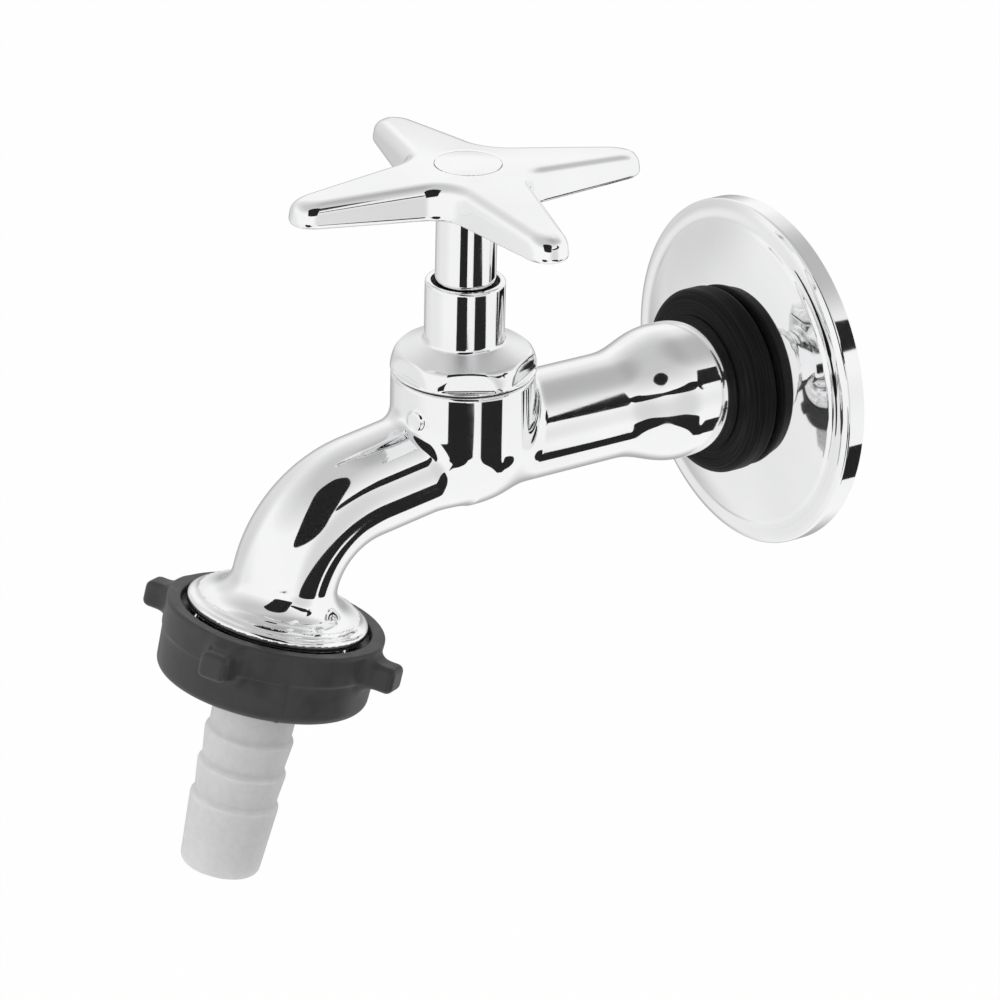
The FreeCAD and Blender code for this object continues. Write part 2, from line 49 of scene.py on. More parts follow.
# Materials
def newMaterial(name):
    mat = bpy.data.materials.new(name)
    mat.use_nodes = True
    tree = mat.node_tree
    tree.nodes.clear()
    out = tree.nodes.new("ShaderNodeOutputMaterial")
    shader = tree.nodes.new("ShaderNodeBsdfPrincipled")
    tree.links.new(shader.outputs["BSDF"], out.inputs["Surface"])
    return mat, tree, shader


def shaderOf(mat):
    return next(node for node in mat.node_tree.nodes if node.type == "BSDF_PRINCIPLED")


def addNode(tree, kind, **values):
    node = tree.nodes.new(kind)
    for key, value in values.items():
        setattr(node, key, value)
    return node


def noiseOf(tree, scale, detail):
    coords = addNode(tree, "ShaderNodeTexCoord")
    noise = addNode(tree, "ShaderNodeTexNoise")
    noise.inputs["Scale"].default_value = scale
    noise.inputs["Detail"].default_value = detail
    tree.links.new(coords.outputs["Object"], noise.inputs["Vector"])
    return noise.outputs["Fac"]


def rampOf(tree, source, low, high, lowAt=0.35, highAt=0.65):
    ramp = addNode(tree, "ShaderNodeMapRange")
    ramp.inputs["From Min"].default_value = lowAt
    ramp.inputs["From Max"].default_value = highAt
    ramp.inputs["To Min"].default_value = low
    ramp.inputs["To Max"].default_value = high
    tree.links.new(source, ramp.inputs["Value"])
    return ramp.outputs["Result"]


def toneBy(tree, shader, factor, look):
    mix = addNode(tree, "ShaderNodeMix", data_type="RGBA")
    mix.inputs["A"].default_value = (*look["tone"], 1)
    mix.inputs["B"].default_value = (*look["dull"], 1)
    tree.links.new(factor, mix.inputs["Factor"])
    tree.links.new(mix.outputs["Result"], shader.inputs["Base Color"])


def bumpBy(tree, shader, source, strength, distance):
    bump = addNode(tree, "ShaderNodeBump")
    bump.inputs["Strength"].default_value = strength
    bump.inputs["Distance"].default_value = distance
    tree.links.new(source, bump.inputs["Height"])
    tree.links.new(bump.outputs["Normal"], shader.inputs["Normal"])


chromeLook = {
    "tone": (0.93, 0.932, 0.935), "dull": (0.88, 0.882, 0.886), "smooth": 0.03, "worn": 0.08,
    "clouds": 45.0, "cloudDetail": 3.0, "specks": 260.0, "speckDetail": 2.0, "wearRange": (0.3, 0.9),
    "ripple": 0.02, "depth": 0.0006,
}


def chromeMaterial(name, look):
    mat, tree, shader = newMaterial(name)
    shader.inputs["Metallic"].default_value = 1.0
    clouds = noiseOf(tree, look["clouds"], look["cloudDetail"])
    specks = noiseOf(tree, look["specks"], look["speckDetail"])
    toneBy(tree, shader, rampOf(tree, clouds, 0.0, 1.0), look)
    rough = rampOf(tree, specks, look["smooth"], look["worn"], *look["wearRange"])
    tree.links.new(rough, shader.inputs["Roughness"])
    bumpBy(tree, shader, clouds, look["ripple"], look["depth"])
    return mat


# Grained finishes: one start for metals, one for plastic and rubber, and what differs in each
metalLook = {"metal": 1.0, "specular": 0.5, "grain": 500.0, "detail": 3.0, "bump": 0.1, "depth": 0.0001}
softLook = {"metal": 0.0, "specular": 0.5, "grain": 300.0, "detail": 4.0, "bump": 0.25, "depth": 0.0001}
brassLook = dict(metalLook, tone=(0.72, 0.56, 0.28), dull=(0.62, 0.47, 0.22), smooth=0.25, worn=0.4)
steelLook = dict(metalLook, tone=(0.62, 0.62, 0.61), dull=(0.52, 0.52, 0.52), smooth=0.22, worn=0.4)
rubberLook = dict(softLook, tone=(0.012, 0.012, 0.012), dull=(0.02, 0.02, 0.02), smooth=0.55, worn=0.75)
fibreLook = dict(softLook, tone=(0.10, 0.10, 0.10), dull=(0.16, 0.16, 0.16), smooth=0.7, worn=0.9)
nutLook = dict(softLook, tone=(0.036, 0.036, 0.038), dull=(0.044, 0.044, 0.046), smooth=0.34, worn=0.44,
               specular=0.3)
tailLook = dict(softLook, tone=(0.56, 0.56, 0.56), dull=(0.59, 0.59, 0.59), smooth=0.36, worn=0.42,
                grain=900.0, bump=0.04, milk=0.006)


def grainedMaterial(name, look):
    mat, tree, shader = newMaterial(name)
    shader.inputs["Metallic"].default_value = look["metal"]
    shader.inputs["Specular IOR Level"].default_value = look["specular"]
    grain = noiseOf(tree, look["grain"], look["detail"])
    toneBy(tree, shader, rampOf(tree, grain, 0.0, 1.0), look)
    tree.links.new(rampOf(tree, grain, look["smooth"], look["worn"]), shader.inputs["Roughness"])
    bumpBy(tree, shader, grain, look["bump"], look["depth"])
    return mat


def milkyMaterial(name, look):                              # light passes into it and spreads
    mat = grainedMaterial(name, look)
    shader = shaderOf(mat)
    shader.inputs["Subsurface Weight"].default_value = 1.0
    shader.inputs["Subsurface Radius"].default_value = (1.0, 1.0, 1.0)
    shader.inputs["Subsurface Scale"].default_value = look["milk"]
    return mat


ringLook = {
    "tone": (0.005, 0.005, 0.005), "dull": (0.018, 0.018, 0.018), "toneRange": (0.4, 0.75),
    "smooth": 0.42, "worn": 0.6, "specular": 0.08, "lines": 5000.0, "detail": 3.0, "drift": 0.02,
    "bump": 0.15, "depth": 0.00004,
}


def turnedMaterial(name, look):                             # fine rings about the inlet's Y axis
    mat, tree, shader = newMaterial(name)
    shader.inputs["Specular IOR Level"].default_value = look["specular"]
    coords = addNode(tree, "ShaderNodeTexCoord")
    split = addNode(tree, "ShaderNodeSeparateXYZ")
    flat = addNode(tree, "ShaderNodeCombineXYZ")
    wide = addNode(tree, "ShaderNodeVectorMath", operation="LENGTH")
    across = addNode(tree, "ShaderNodeCombineXYZ")
    drift = addNode(tree, "ShaderNodeMath", operation="MULTIPLY")
    drift.inputs[1].default_value = look["drift"]
    rings = addNode(tree, "ShaderNodeTexNoise")
    rings.inputs["Scale"].default_value = look["lines"]
    rings.inputs["Detail"].default_value = look["detail"]
    tree.links.new(coords.outputs["Object"], split.inputs["Vector"])
    tree.links.new(split.outputs["X"], flat.inputs["X"])
    tree.links.new(split.outputs["Z"], flat.inputs["Z"])
    tree.links.new(flat.outputs["Vector"], wide.inputs[0])
    tree.links.new(wide.outputs["Value"], across.inputs["X"])
    tree.links.new(split.outputs["Y"], across.inputs["Y"])
    tree.links.new(split.outputs["Z"], drift.inputs[0])
    tree.links.new(drift.outputs["Value"], across.inputs["Z"])
    tree.links.new(across.outputs["Vector"], rings.inputs["Vector"])
    lines = rings.outputs["Fac"]
    toneBy(tree, shader, rampOf(tree, lines, 0.0, 1.0, *look["toneRange"]), look)
    tree.links.new(rampOf(tree, lines, look["worn"], look["smooth"]), shader.inputs["Roughness"])
    bumpBy(tree, shader, lines, look["bump"], look["depth"])
    return mat


chrome = chromeMaterial("chrome", chromeLook)
brass = grainedMaterial("brass", brassLook)
steel = grainedMaterial("steel", steelLook)
blackRing = turnedMaterial("blackRing", ringLook)
nutPlastic = grainedMaterial("nutPlastic", nutLook)
tailPlastic = milkyMaterial("tailPlastic", tailLook)
rubber = grainedMaterial("rubber", rubberLook)
fibre = grainedMaterial("fibre", fibreLook)

nodeMaterials = {
    "valve_body": chrome, "wall_flange": chrome, "spacer_ring": blackRing, "bonnet_gasket": fibre,
    "bonnet": chrome, "dust_seal": rubber, "spindle": chrome, "spindle_ring_lower": rubber,
    "spindle_ring_upper": rubber, "jumper_valve": brass, "seat_washer": rubber, "washer_plate": brass,
    "washer_nut": brass, "handle": chrome, "spring_washer": steel, "handle_screw": steel,
    "handle_cap": chrome, "union_nut": nutPlastic, "hose_washer": rubber, "hose_tail": tailPlastic,
}
for nodeName, material in nodeMaterials.items():
    slots = nodes[nodeName].data.materials
    if len(slots) == 0:
        slots.append(material)
    for index in range(len(slots)):
        slots[index] = material
print("materials", len(nodeMaterials))


# Shapes from distance fields: each returns millimetres to the surface, negative inside
def softUnion(a, b, blend):
    share = np.clip(0.5 + 0.5 * (b - a) / blend, 0, 1)
    return b + (a - b) * share - blend * share * (1 - share)


def softCut(a, b, blend):
    return -softUnion(-a, b, blend)


def roundBar(radius, height, low, high, wide, edge):
    across = radius - (wide - edge)
    along = np.abs(height - (low + high) / 2) - ((high - low) / 2 - edge)
    outside = np.hypot(np.maximum(across, 0), np.maximum(along, 0))
    return outside + np.minimum(np.maximum(across, along), 0) - edge


def roundBox(x, y, z, halfX, halfY, halfZ, edge):
    dx = np.abs(x) - (halfX - edge)
    dy = np.abs(y) - (halfY - edge)
    dz = np.abs(z) - (halfZ - edge)
    outside = np.sqrt(np.maximum(dx, 0) ** 2 + np.maximum(dy, 0) ** 2 + np.maximum(dz, 0) ** 2)
    return outside + np.minimum(np.maximum(dx, np.maximum(dy, dz)), 0) - edge


def netSurface(field, low, high, grid):                     # one point in each cell that the surface crosses
    axes = [np.arange(a, b + grid, grid) for a, b in zip(low, high)]
    shape = tuple(len(axis) for axis in axes)
    values = np.empty(shape, np.float32)
    y, z = np.meshgrid(axes[1], axes[2], indexing="ij")
    for i, x in enumerate(axes[0]):
        values[i] = field(np.full_like(y, x), y, z)
    inside = values < 0
    cells = tuple(n - 1 for n in shape)
    total = np.zeros((*cells, 3), np.float32)
    count = np.zeros(cells, np.float32)
    quads = []
    for axis in range(3):
        near = [slice(None)] * 3
        far = [slice(None)] * 3
        near[axis] = slice(0, -1)
        far[axis] = slice(1, None)
        first, second = values[tuple(near)], values[tuple(far)]
        crossed = inside[tuple(near)] != inside[tuple(far)]
        place = np.where(crossed, first / np.where(crossed, first - second, 1), 0)
        others = [k for k in range(3) if k != axis]
        for du in (0, 1):
            for dv in (0, 1):
                window = [slice(None)] * 3
                window[others[0]] = slice(du, shape[others[0]] - 1 + du)
                window[others[1]] = slice(dv, shape[others[1]] - 1 + dv)
                here = crossed[tuple(window)]
                count += here
                total[..., axis] += np.where(here, place[tuple(window)], 0)
                total[..., others[0]] += here * du
                total[..., others[1]] += here * dv
        inner = [slice(None)] * 3
        inner[others[0]] = slice(1, -1)
        inner[others[1]] = slice(1, -1)
        where = np.argwhere(crossed[tuple(inner)])
        where[:, others[0]] += 1
        where[:, others[1]] += 1
        rising = inside[tuple(near)][tuple(where.T)]
        corners = []
        for du, dv in ((0, 0), (1, 0), (1, 1), (0, 1)):
            corner = where.copy()
            corner[:, others[0]] -= du
            corner[:, others[1]] -= dv
            corners.append(np.ravel_multi_index(tuple(corner.T), cells))
        ring = np.stack(corners, 1)
        flip = ~rising if axis != 1 else rising
        ring[flip] = ring[flip][:, ::-1]
        quads.append(ring)
    used = np.argwhere(count > 0)
    index = np.full(int(np.prod(cells)), -1)
    index[np.ravel_multi_index(tuple(used.T), cells)] = np.arange(len(used))
    offset = total[tuple(used.T)] / count[tuple(used.T)][:, None]
    points = (used + offset) * grid + np.array(low)
    faces = index[np.concatenate(quads)]
    return points, faces


# Points settle onto the surface down its slope, which is taken over twice the reach
settling = {"rounds": 4, "reach": 0.04, "gentlest": 0.2, "shortest": 1e-6}
creaseAngle = math.radians(35)


def slopeOf(field, points):
    x, y, z = points.T
    reach = settling["reach"]
    slope = np.stack([field(x + reach, y, z) - field(x - reach, y, z),
                      field(x, y + reach, z) - field(x, y - reach, z),
                      field(x, y, z + reach) - field(x, y, z - reach)], 1) / (2 * reach)
    return slope


def meshPiece(name, points, faces, material, facing=None):
    mesh = bpy.data.meshes.new(name)
    mesh.from_pydata(points * mm, [], faces)
    if facing is None:
        build = bmesh.new()
        build.from_mesh(mesh)
        bmesh.ops.recalc_face_normals(build, faces=build.faces[:])
        build.to_mesh(mesh)
        build.free()
        mesh.set_sharp_from_angle(angle=creaseAngle)
    mesh.polygons.foreach_set("use_smooth", [True] * len(mesh.polygons))
    if facing is not None:
        mesh.normals_split_custom_set_from_vertices(facing.tolist())
    mesh.materials.append(material)
    piece = bpy.data.objects.new(name, mesh)
    bpy.context.scene.collection.objects.link(piece)
    print(name, len(points), "points")
    return piece


def turnedBy(place, vectors):
    return place(vectors) - place(np.zeros((1, 3)))


def fieldPiece(name, field, part, place, material):
    points, faces = netSurface(field, part["low"], part["high"], part["grid"])
    for _ in range(settling["rounds"]):
        slope = slopeOf(field, points)
        size = np.maximum((slope ** 2).sum(1), settling["gentlest"])
        move = slope * (field(*points.T) / size)[:, None]
        points = points - np.clip(move, -part["grid"] / 2, part["grid"] / 2)
    normals = slopeOf(field, points)
    normals /= np.maximum(np.linalg.norm(normals, axis=1), settling["shortest"])[:, None]
    return meshPiece(name, place(points), faces.tolist(), material, turnedBy(place, normals))


def roundedCorners(corners, steps=5):
    places, facing = [], []
    count = len(corners)
    for k in range(count):
        before, here, after = (np.array(corners[(k + j) % count][:2], float) for j in (-1, 0, 1))
        into = (here - before) / np.linalg.norm(here - before)
        out = (after - here) / np.linalg.norm(after - here)
        cut = corners[k][2]
        for i in range(steps + 1):
            t = i / steps
            heading = (1 - t) * into + t * out
            heading /= np.linalg.norm(heading)
            places.append(here - into * cut * (1 - t) ** 2 + out * cut * t * t)
            facing.append((heading[1], -heading[0]))
    return np.array(places), np.array(facing)


def spun(ring, turn):
    return np.stack([ring[:, 0] * math.cos(turn), ring[:, 0] * math.sin(turn), ring[:, 1]], 1)


def lathePiece(name, corners, segments, place, material):
    ring, facing = roundedCorners(corners)                  # corners run anticlockwise, as (r, z, cut)
    turns = [2 * math.pi * j / segments for j in range(segments)]
    points = np.concatenate([spun(ring, turn) for turn in turns])
    normals = np.concatenate([spun(facing, turn) for turn in turns])
    count = len(ring)
    faces = []
    for j in range(segments):
        here = j * count
        there = (j + 1) % segments * count
        for k in range(count):
            after = (k + 1) % count
            faces.append((here + k, there + k, there + after, here + after))
    return meshPiece(name, place(points), faces, material, turnedBy(place, normals))


# Threads: a ridge that winds up the axis and runs out at both ends
# Lengths are in millimetres, but wide and flat are shares of the pitch, and runOut is in turns
threadLook = {"pitch": 1.814, "sink": 0.3, "start": 0.0, "perTurn": 48, "runOut": 0.4, "least": 0.03}


def threadPiece(name, thread, place, material):
    root, sink = thread["root"], thread["sink"]
    wide, flat = thread["wide"], thread["flat"]
    turns = (thread["high"] - thread["low"]) / thread["pitch"]
    steps = int(turns * thread["perTurn"])
    side = 1 if thread["crest"] > root else -1
    points = []
    for i in range(steps + 1):
        turn = i / thread["perTurn"]
        fade = min(1, turn / thread["runOut"], (turns - turn) / thread["runOut"])
        crest = root + (thread["crest"] - root) * max(thread["least"], fade)
        section = [(root - side * sink, -wide), (root, -wide), (crest, -flat),
                   (crest, flat), (root, wide), (root - side * sink, wide)]
        angle = 2 * math.pi * turn + math.radians(thread["start"])
        for r, along in section:
            height = thread["low"] + (turn + along) * thread["pitch"]
            points.append((r * math.cos(angle), r * math.sin(angle), height))
    count = len(section)
    faces = [tuple(range(count)), tuple(range(count * steps, count * (steps + 1)))]
    for i in range(steps):
        here, there = count * i, count * (i + 1)
        for k in range(count):
            after = (k + 1) % count
            faces.append((here + k, here + after, there + after, there + k))
    return meshPiece(name, place(np.array(points)), faces, material)


def dress(piece, body, node=None):
    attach(piece, body)
    if node:
        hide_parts(node)


# Outlet frame: r across and up along the tilted outlet axis
outletUp = (math.sin(math.radians(outletTilt)), math.cos(math.radians(outletTilt)))


def outletPlace(x, y, z):
    dy, dz = y - (outletY - valveY), z - outletZ
    return np.hypot(x, dy * outletUp[1] - dz * outletUp[0]), dy * outletUp[0] + dz * outletUp[1]


# Frames: each takes points about a Z axis to the place of that axis
def byValve(points):
    return points + np.array([0, valveY, 0])


def byInlet(points):
    x, y, z = points.T
    return np.stack([x, z + valveY, -y], 1)


def byWall(points):
    x, y, z = points.T
    return np.stack([x, -z, y], 1)


def byOutlet(points):
    x, y, z = points.T
    forward = y * outletUp[1] + z * outletUp[0]
    upward = z * outletUp[1] - y * outletUp[0]
    return np.stack([x, forward + outletY, upward + outletZ], 1)


# Casting: upright body, barrel, spout and collar in one skin, with the passages inside
casting = {
    "bodyR": 11.5, "bodyTop": 12.4, "bodyLap": 8.0, "ballZ": 2.2, "topRound": 0.6,
    "barrelR": 8.7, "flareStart": 26.1, "flareEnd": 39.8, "endR": 11.3, "barrelEnd": 46.2, "endRound": 0.5,
    "lap": 2.0, "neckR": 9.9, "neckEnd": 57.0, "neckRound": 0.2, "coreR": 9.35, "coreEnd": 70.7,
    "coreRound": 0.3, "rootDrop": 0.4, "slope": 9.4, "spoutR": 8.4, "neckTop": 6.3, "flareR": 4.4,
    "collarR": 14.5, "collarTop": 1.2, "collarFoot": -0.6, "collarRound": 0.65, "collarBlend": 1.6,
    "stubR": 12.1, "stubEnd": -6.6, "stubRound": 0.25,
    "blendTop": 2.0, "blendFoot": 3.0, "blendFrom": -1.5, "blendTo": -8.0,
    "pipR": 1.5, "pipZ": 7.4, "pipTurn": -72.0, "pipStand": 0.45, "pipRoot": 5.0,
    "pipRound": 0.4, "pipBlend": 0.5,
    "chamberR": 9.0, "chamberFloor": 1.6, "seatR": 5.6, "seatTop": 2.4,
    "orificeR": 4.0, "orificeZ": -1.0, "orificeHalf": 6.0,
    "boreR": 5.5, "boreStart": 12.5, "passage": (4.2, 3.0, -4.2), "passageEnd": 15.0, "passageRound": 2.8,
    "waterR": 5.6, "waterStart": 7.0, "mouthR": 8.5, "mouthTop": 1.2, "holeEdge": 0.3,
    "low": (-15.4, -51.0, -31.0), "high": (15.4, 72.0, 13.4), "grid": 0.32,
}
farOff = 1000.0                                             # distance where the bend has no part


def spoutRoute(part):                                       # straight leg, bend and outlet leg from the side
    slope, tilt = math.radians(part["slope"]), math.radians(outletTilt)
    outward = np.array([-math.cos(slope), -math.sin(slope)])
    downward = np.array([-math.sin(tilt), -math.cos(tilt)])
    root = np.array([0, -part["rootDrop"]])
    outlet = np.array([outletY - valveY, outletZ])
    across = outlet - root
    spread = outward[0] * downward[1] - outward[1] * downward[0]
    run = (across[0] * downward[1] - across[1] * downward[0]) / spread
    corner = root + outward * run
    tangent = np.linalg.norm(outlet - corner) - part["neckTop"]
    halfTurn = math.radians(90 - part["slope"] - outletTilt) / 2
    bend = tangent / math.tan(halfTurn)
    inward = (downward - outward) / np.linalg.norm(downward - outward)
    centre = corner + inward * bend / math.cos(halfTurn)
    return root, outward, corner - outward * tangent, centre, bend, corner + downward * tangent, downward


def segmentDistance(y, z, start, end):
    along = end - start
    share = np.clip(((y - start[0]) * along[0] + (z - start[1]) * along[1]) / along.dot(along), 0, 1)
    return np.hypot(y - start[0] - share * along[0], z - start[1] - share * along[1])


def spoutDistance(x, y, z, route, skip=0.0, past=0.0):
    root, outward, bendStart, centre, bend, bendEnd, downward = route
    leg = segmentDistance(y, z, root + outward * skip, bendStart)
    last = segmentDistance(y, z, bendEnd, bendEnd + downward * past) if past else leg
    first, final = bendStart - centre, bendEnd - centre
    dy, dz = y - centre[0], z - centre[1]
    within = (first[0] * dz - first[1] * dy >= 0) & (dy * final[1] - dz * final[0] >= 0)
    arc = np.where(within, np.abs(np.hypot(dy, dz) - bend), farOff)
    return np.hypot(x, np.minimum(np.minimum(leg, last), arc))


def castingField(part):
    route = spoutRoute(part)
    turn = math.radians(part["pipTurn"])
    rise = part["endR"] - part["barrelR"]
    flareAt = part["spoutR"] + part["flareR"]
    halfWide, halfHigh, middle = part["passage"]
    halfLong = part["passageEnd"] / 2
    neckFoot = part["barrelEnd"] - part["lap"]

    def field(x, y, z):
        upright = np.hypot(x, y)
        wall = roundBar(upright, z, part["ballZ"] - part["bodyLap"], part["bodyTop"], part["bodyR"],
                        part["topRound"])
        ball = np.sqrt(x ** 2 + y ** 2 + (z - part["ballZ"]) ** 2) - part["bodyR"]
        body = np.where(z > part["ballZ"], wall, ball)

        share = np.clip((y - part["flareStart"]) / (part["flareEnd"] - part["flareStart"]), 0, 1)
        ring = np.hypot(x, z)
        wide = part["barrelR"] + rise * share ** 3 * (share * (6 * share - 15) + 10)    # eases in and out
        barrel = softCut(ring - wide, part["barrelEnd"] - y, part["endRound"])
        barrel = np.maximum(barrel, -y)

        spout = spoutDistance(x, y, z, route) - part["spoutR"]
        foot = np.clip((part["blendFrom"] - z) / (part["blendFrom"] - part["blendTo"]), 0, 1)
        blend = part["blendTop"] + (part["blendFoot"] - part["blendTop"]) * foot * foot * (3 - 2 * foot)
        outer = softUnion(softUnion(body, barrel, blend), spout, blend)

        out = x * math.cos(turn) + y * math.sin(turn)
        side = np.hypot(-x * math.sin(turn) + y * math.cos(turn), z - part["pipZ"])
        pip = roundBar(side, out, part["pipRoot"], part["bodyR"] + part["pipStand"], part["pipR"],
                       part["pipRound"])
        outer = softUnion(outer, pip, part["pipBlend"])

        r, up = outletPlace(x, y, z)
        disc = roundBar(r, up, part["collarFoot"], part["collarTop"], part["collarR"], part["collarRound"])
        flare = part["flareR"] - np.hypot(r - flareAt, up - part["neckTop"])
        flare = np.maximum(flare, r - flareAt)
        flare = np.maximum(flare, np.maximum(up - part["neckTop"], -up))
        stub = roundBar(r, up, part["stubEnd"], 0.0, part["stubR"], part["stubRound"])
        outer = np.minimum(outer, np.minimum(softUnion(disc, flare, part["collarBlend"]), stub))

        neck = roundBar(ring, y, neckFoot, part["neckEnd"], part["neckR"], part["neckRound"])
        core = roundBar(ring, y, neckFoot, part["coreEnd"], part["coreR"], part["coreRound"])
        outer = np.minimum(outer, np.minimum(neck, core))

        chamber = np.maximum(upright - part["chamberR"], part["chamberFloor"] - z)
        seat = np.maximum(upright - part["seatR"], z - part["seatTop"])
        chamber = np.maximum(chamber, -seat)
        orifice = np.maximum(upright - part["orificeR"], np.abs(z - part["orificeZ"]) - part["orificeHalf"])
        passage = roundBox(x, y - halfLong, z - middle, halfWide, halfLong, halfHigh, part["passageRound"])
        inlet = np.maximum(ring - part["boreR"], part["boreStart"] - y)
        water = spoutDistance(x, y, z, route, part["waterStart"], part["neckTop"]) - part["waterR"]
        mouth = np.maximum(r - part["mouthR"], up - part["mouthTop"])
        hollow = np.minimum(np.minimum(chamber, orifice), np.minimum(passage, inlet))
        hollow = np.minimum(hollow, np.minimum(water, mouth))
        return softCut(outer, hollow, part["holeEdge"])
    return field


inletThread = dict(threadLook, root=9.35, crest=10.45, low=57.2, high=69.9, wide=0.42, flat=0.07)
outletThread = dict(threadLook, root=12.1, crest=13.2, low=-6.1, high=-1.9, wide=0.40, flat=0.06)
castingSkin = fieldPiece("castingSkin", castingField(casting), casting, byValve, chrome)
dress(castingSkin, "tap_set", "valve_body")
dress(threadPiece("inletThread", inletThread, byInlet, chrome), "tap_set")
dress(threadPiece("outletThread", outletThread, byOutlet, chrome), "tap_set")


# Bonnet: bowed side cut by six flats that lean in, sloping satin top, plain sleeve
head = {
    "foot": 12.8, "footEdge": 0.15, "band": 0.4, "wallR": 11.6, "shoulderR": 10.75, "shoulderZ": 16.1,
    "sleeveR": 6.35, "sleeveFoot": 17.8, "sleeveBlend": 0.5, "top": 27.8, "topRound": 0.4,
    "flats": 10.6, "flatCount": 6, "turn": -28.0, "crease": 0.35, "draft": 0.035, "draftZ": 14.0,
    "bandBlend": 0.3, "skirtR": 8.93, "skirtFoot": 6.5, "skirtLap": 1.0, "skirtEdge": 0.3,
    "guideR": 4.87, "guideFoot": 17.21, "threadR": 5.95, "recessR": 5.4, "recessFoot": 25.4, "holeEdge": 0.2,
    "satin": 0.34, "satinFoot": 16.12, "satinTop": 17.8, "satinFade": 0.1,
    "low": (-12.2, -12.2, 5.9), "high": (12.2, 12.2, 28.6), "grid": 0.25,
}


def headField(part):
    bandTop = part["foot"] + part["band"]
    rise, inset = part["shoulderZ"] - bandTop, part["wallR"] - part["shoulderR"]
    bow = (rise ** 2 + inset ** 2) / (2 * inset)
    run, drop = part["shoulderR"] - part["sleeveR"], part["sleeveFoot"] - part["shoulderZ"]
    slant = math.hypot(run, drop)
    angles = [math.radians(part["turn"] + 360 / part["flatCount"] * k) for k in range(part["flatCount"])]

    def field(x, y, z):
        r = np.hypot(x, y)
        bowed = np.hypot(r - part["wallR"] + bow, z - bandTop) - bow
        side = np.where(z > bandTop, bowed, r - part["wallR"])
        slope = ((r - part["shoulderR"]) * drop + (z - part["shoulderZ"]) * run) / slant
        hexagon = np.max([x * math.cos(a) + y * math.sin(a) for a in angles], 0)
        hexagon = hexagon - part["flats"] + part["draft"] * (z - part["draftZ"])
        hexagon = softUnion(hexagon, z - bandTop, part["bandBlend"])
        block = softCut(softCut(side, -slope, part["crease"]), -hexagon, part["crease"])
        block = softCut(block, z - part["foot"], part["footEdge"])
        sleeve = roundBar(r, z, part["foot"], part["top"], part["sleeveR"], part["topRound"])
        skirt = roundBar(r, z, part["skirtFoot"], part["foot"] + part["skirtLap"], part["skirtR"],
                         part["skirtEdge"])
        solid = np.minimum(softUnion(block, sleeve, part["sleeveBlend"]), skirt)
        guide = r - part["guideR"]
        below = np.maximum(r - part["threadR"], z - part["guideFoot"])
        recess = np.maximum(r - part["recessR"], part["recessFoot"] - z)
        return softCut(solid, np.minimum(guide, np.minimum(below, recess)), part["holeEdge"])
    return field


def satinBandMaterial(name, look, part):                    # chrome with a satin band on the sloping top
    mat = chromeMaterial(name, look)
    tree = mat.node_tree
    rough = shaderOf(mat).inputs["Roughness"]
    polish = rough.links[0].from_socket
    low, high, fade = part["satinFoot"] * mm, part["satinTop"] * mm, part["satinFade"] * mm
    coords = addNode(tree, "ShaderNodeTexCoord")
    split = addNode(tree, "ShaderNodeSeparateXYZ")
    tree.links.new(coords.outputs["Object"], split.inputs["Vector"])
    band = addNode(tree, "ShaderNodeMath", operation="MULTIPLY")
    tree.links.new(rampOf(tree, split.outputs["Z"], 0.0, 1.0, low, low + fade), band.inputs[0])
    tree.links.new(rampOf(tree, split.outputs["Z"], 1.0, 0.0, high - fade, high), band.inputs[1])
    mix = addNode(tree, "ShaderNodeMix")
    mix.inputs["B"].default_value = part["satin"]
    tree.links.new(band.outputs["Value"], mix.inputs["Factor"])
    tree.links.new(polish, mix.inputs["A"])
    tree.links.new(mix.outputs["Result"], rough)
    return mat


headChrome = satinBandMaterial("headChrome", chromeLook, head)
bonnetSkin = fieldPiece("bonnetSkin", headField(head), head, byValve, headChrome)
dress(bonnetSkin, "tap_set", "bonnet")


# Handle: four arms that taper and thin towards their tips, with soft edges
cross = {
    "turn": -6.0, "reach": 30.0, "tipHalf": 3.2, "tipRound": 1.7, "tipBlend": 3.0, "notch": 11.0,
    "notchR": 5.0, "seat": 41.0, "top": 47.0, "hubR": 6.0, "sink": 2.0, "tipThick": 3.7, "overrun": 1.1,
    "draft": 0.7, "topEdge": 2.0, "footEdge": 1.1, "holeEdge": 0.12,
    "socket": 3.35, "socketTop": 43.4, "wellR": 3.7, "wellLap": 0.1, "capR": 5.25, "capSeat": 45.8,
    "low": (-30.6, -30.6, 40.5), "high": (30.6, 30.6, 47.6), "grid": 0.26,
}


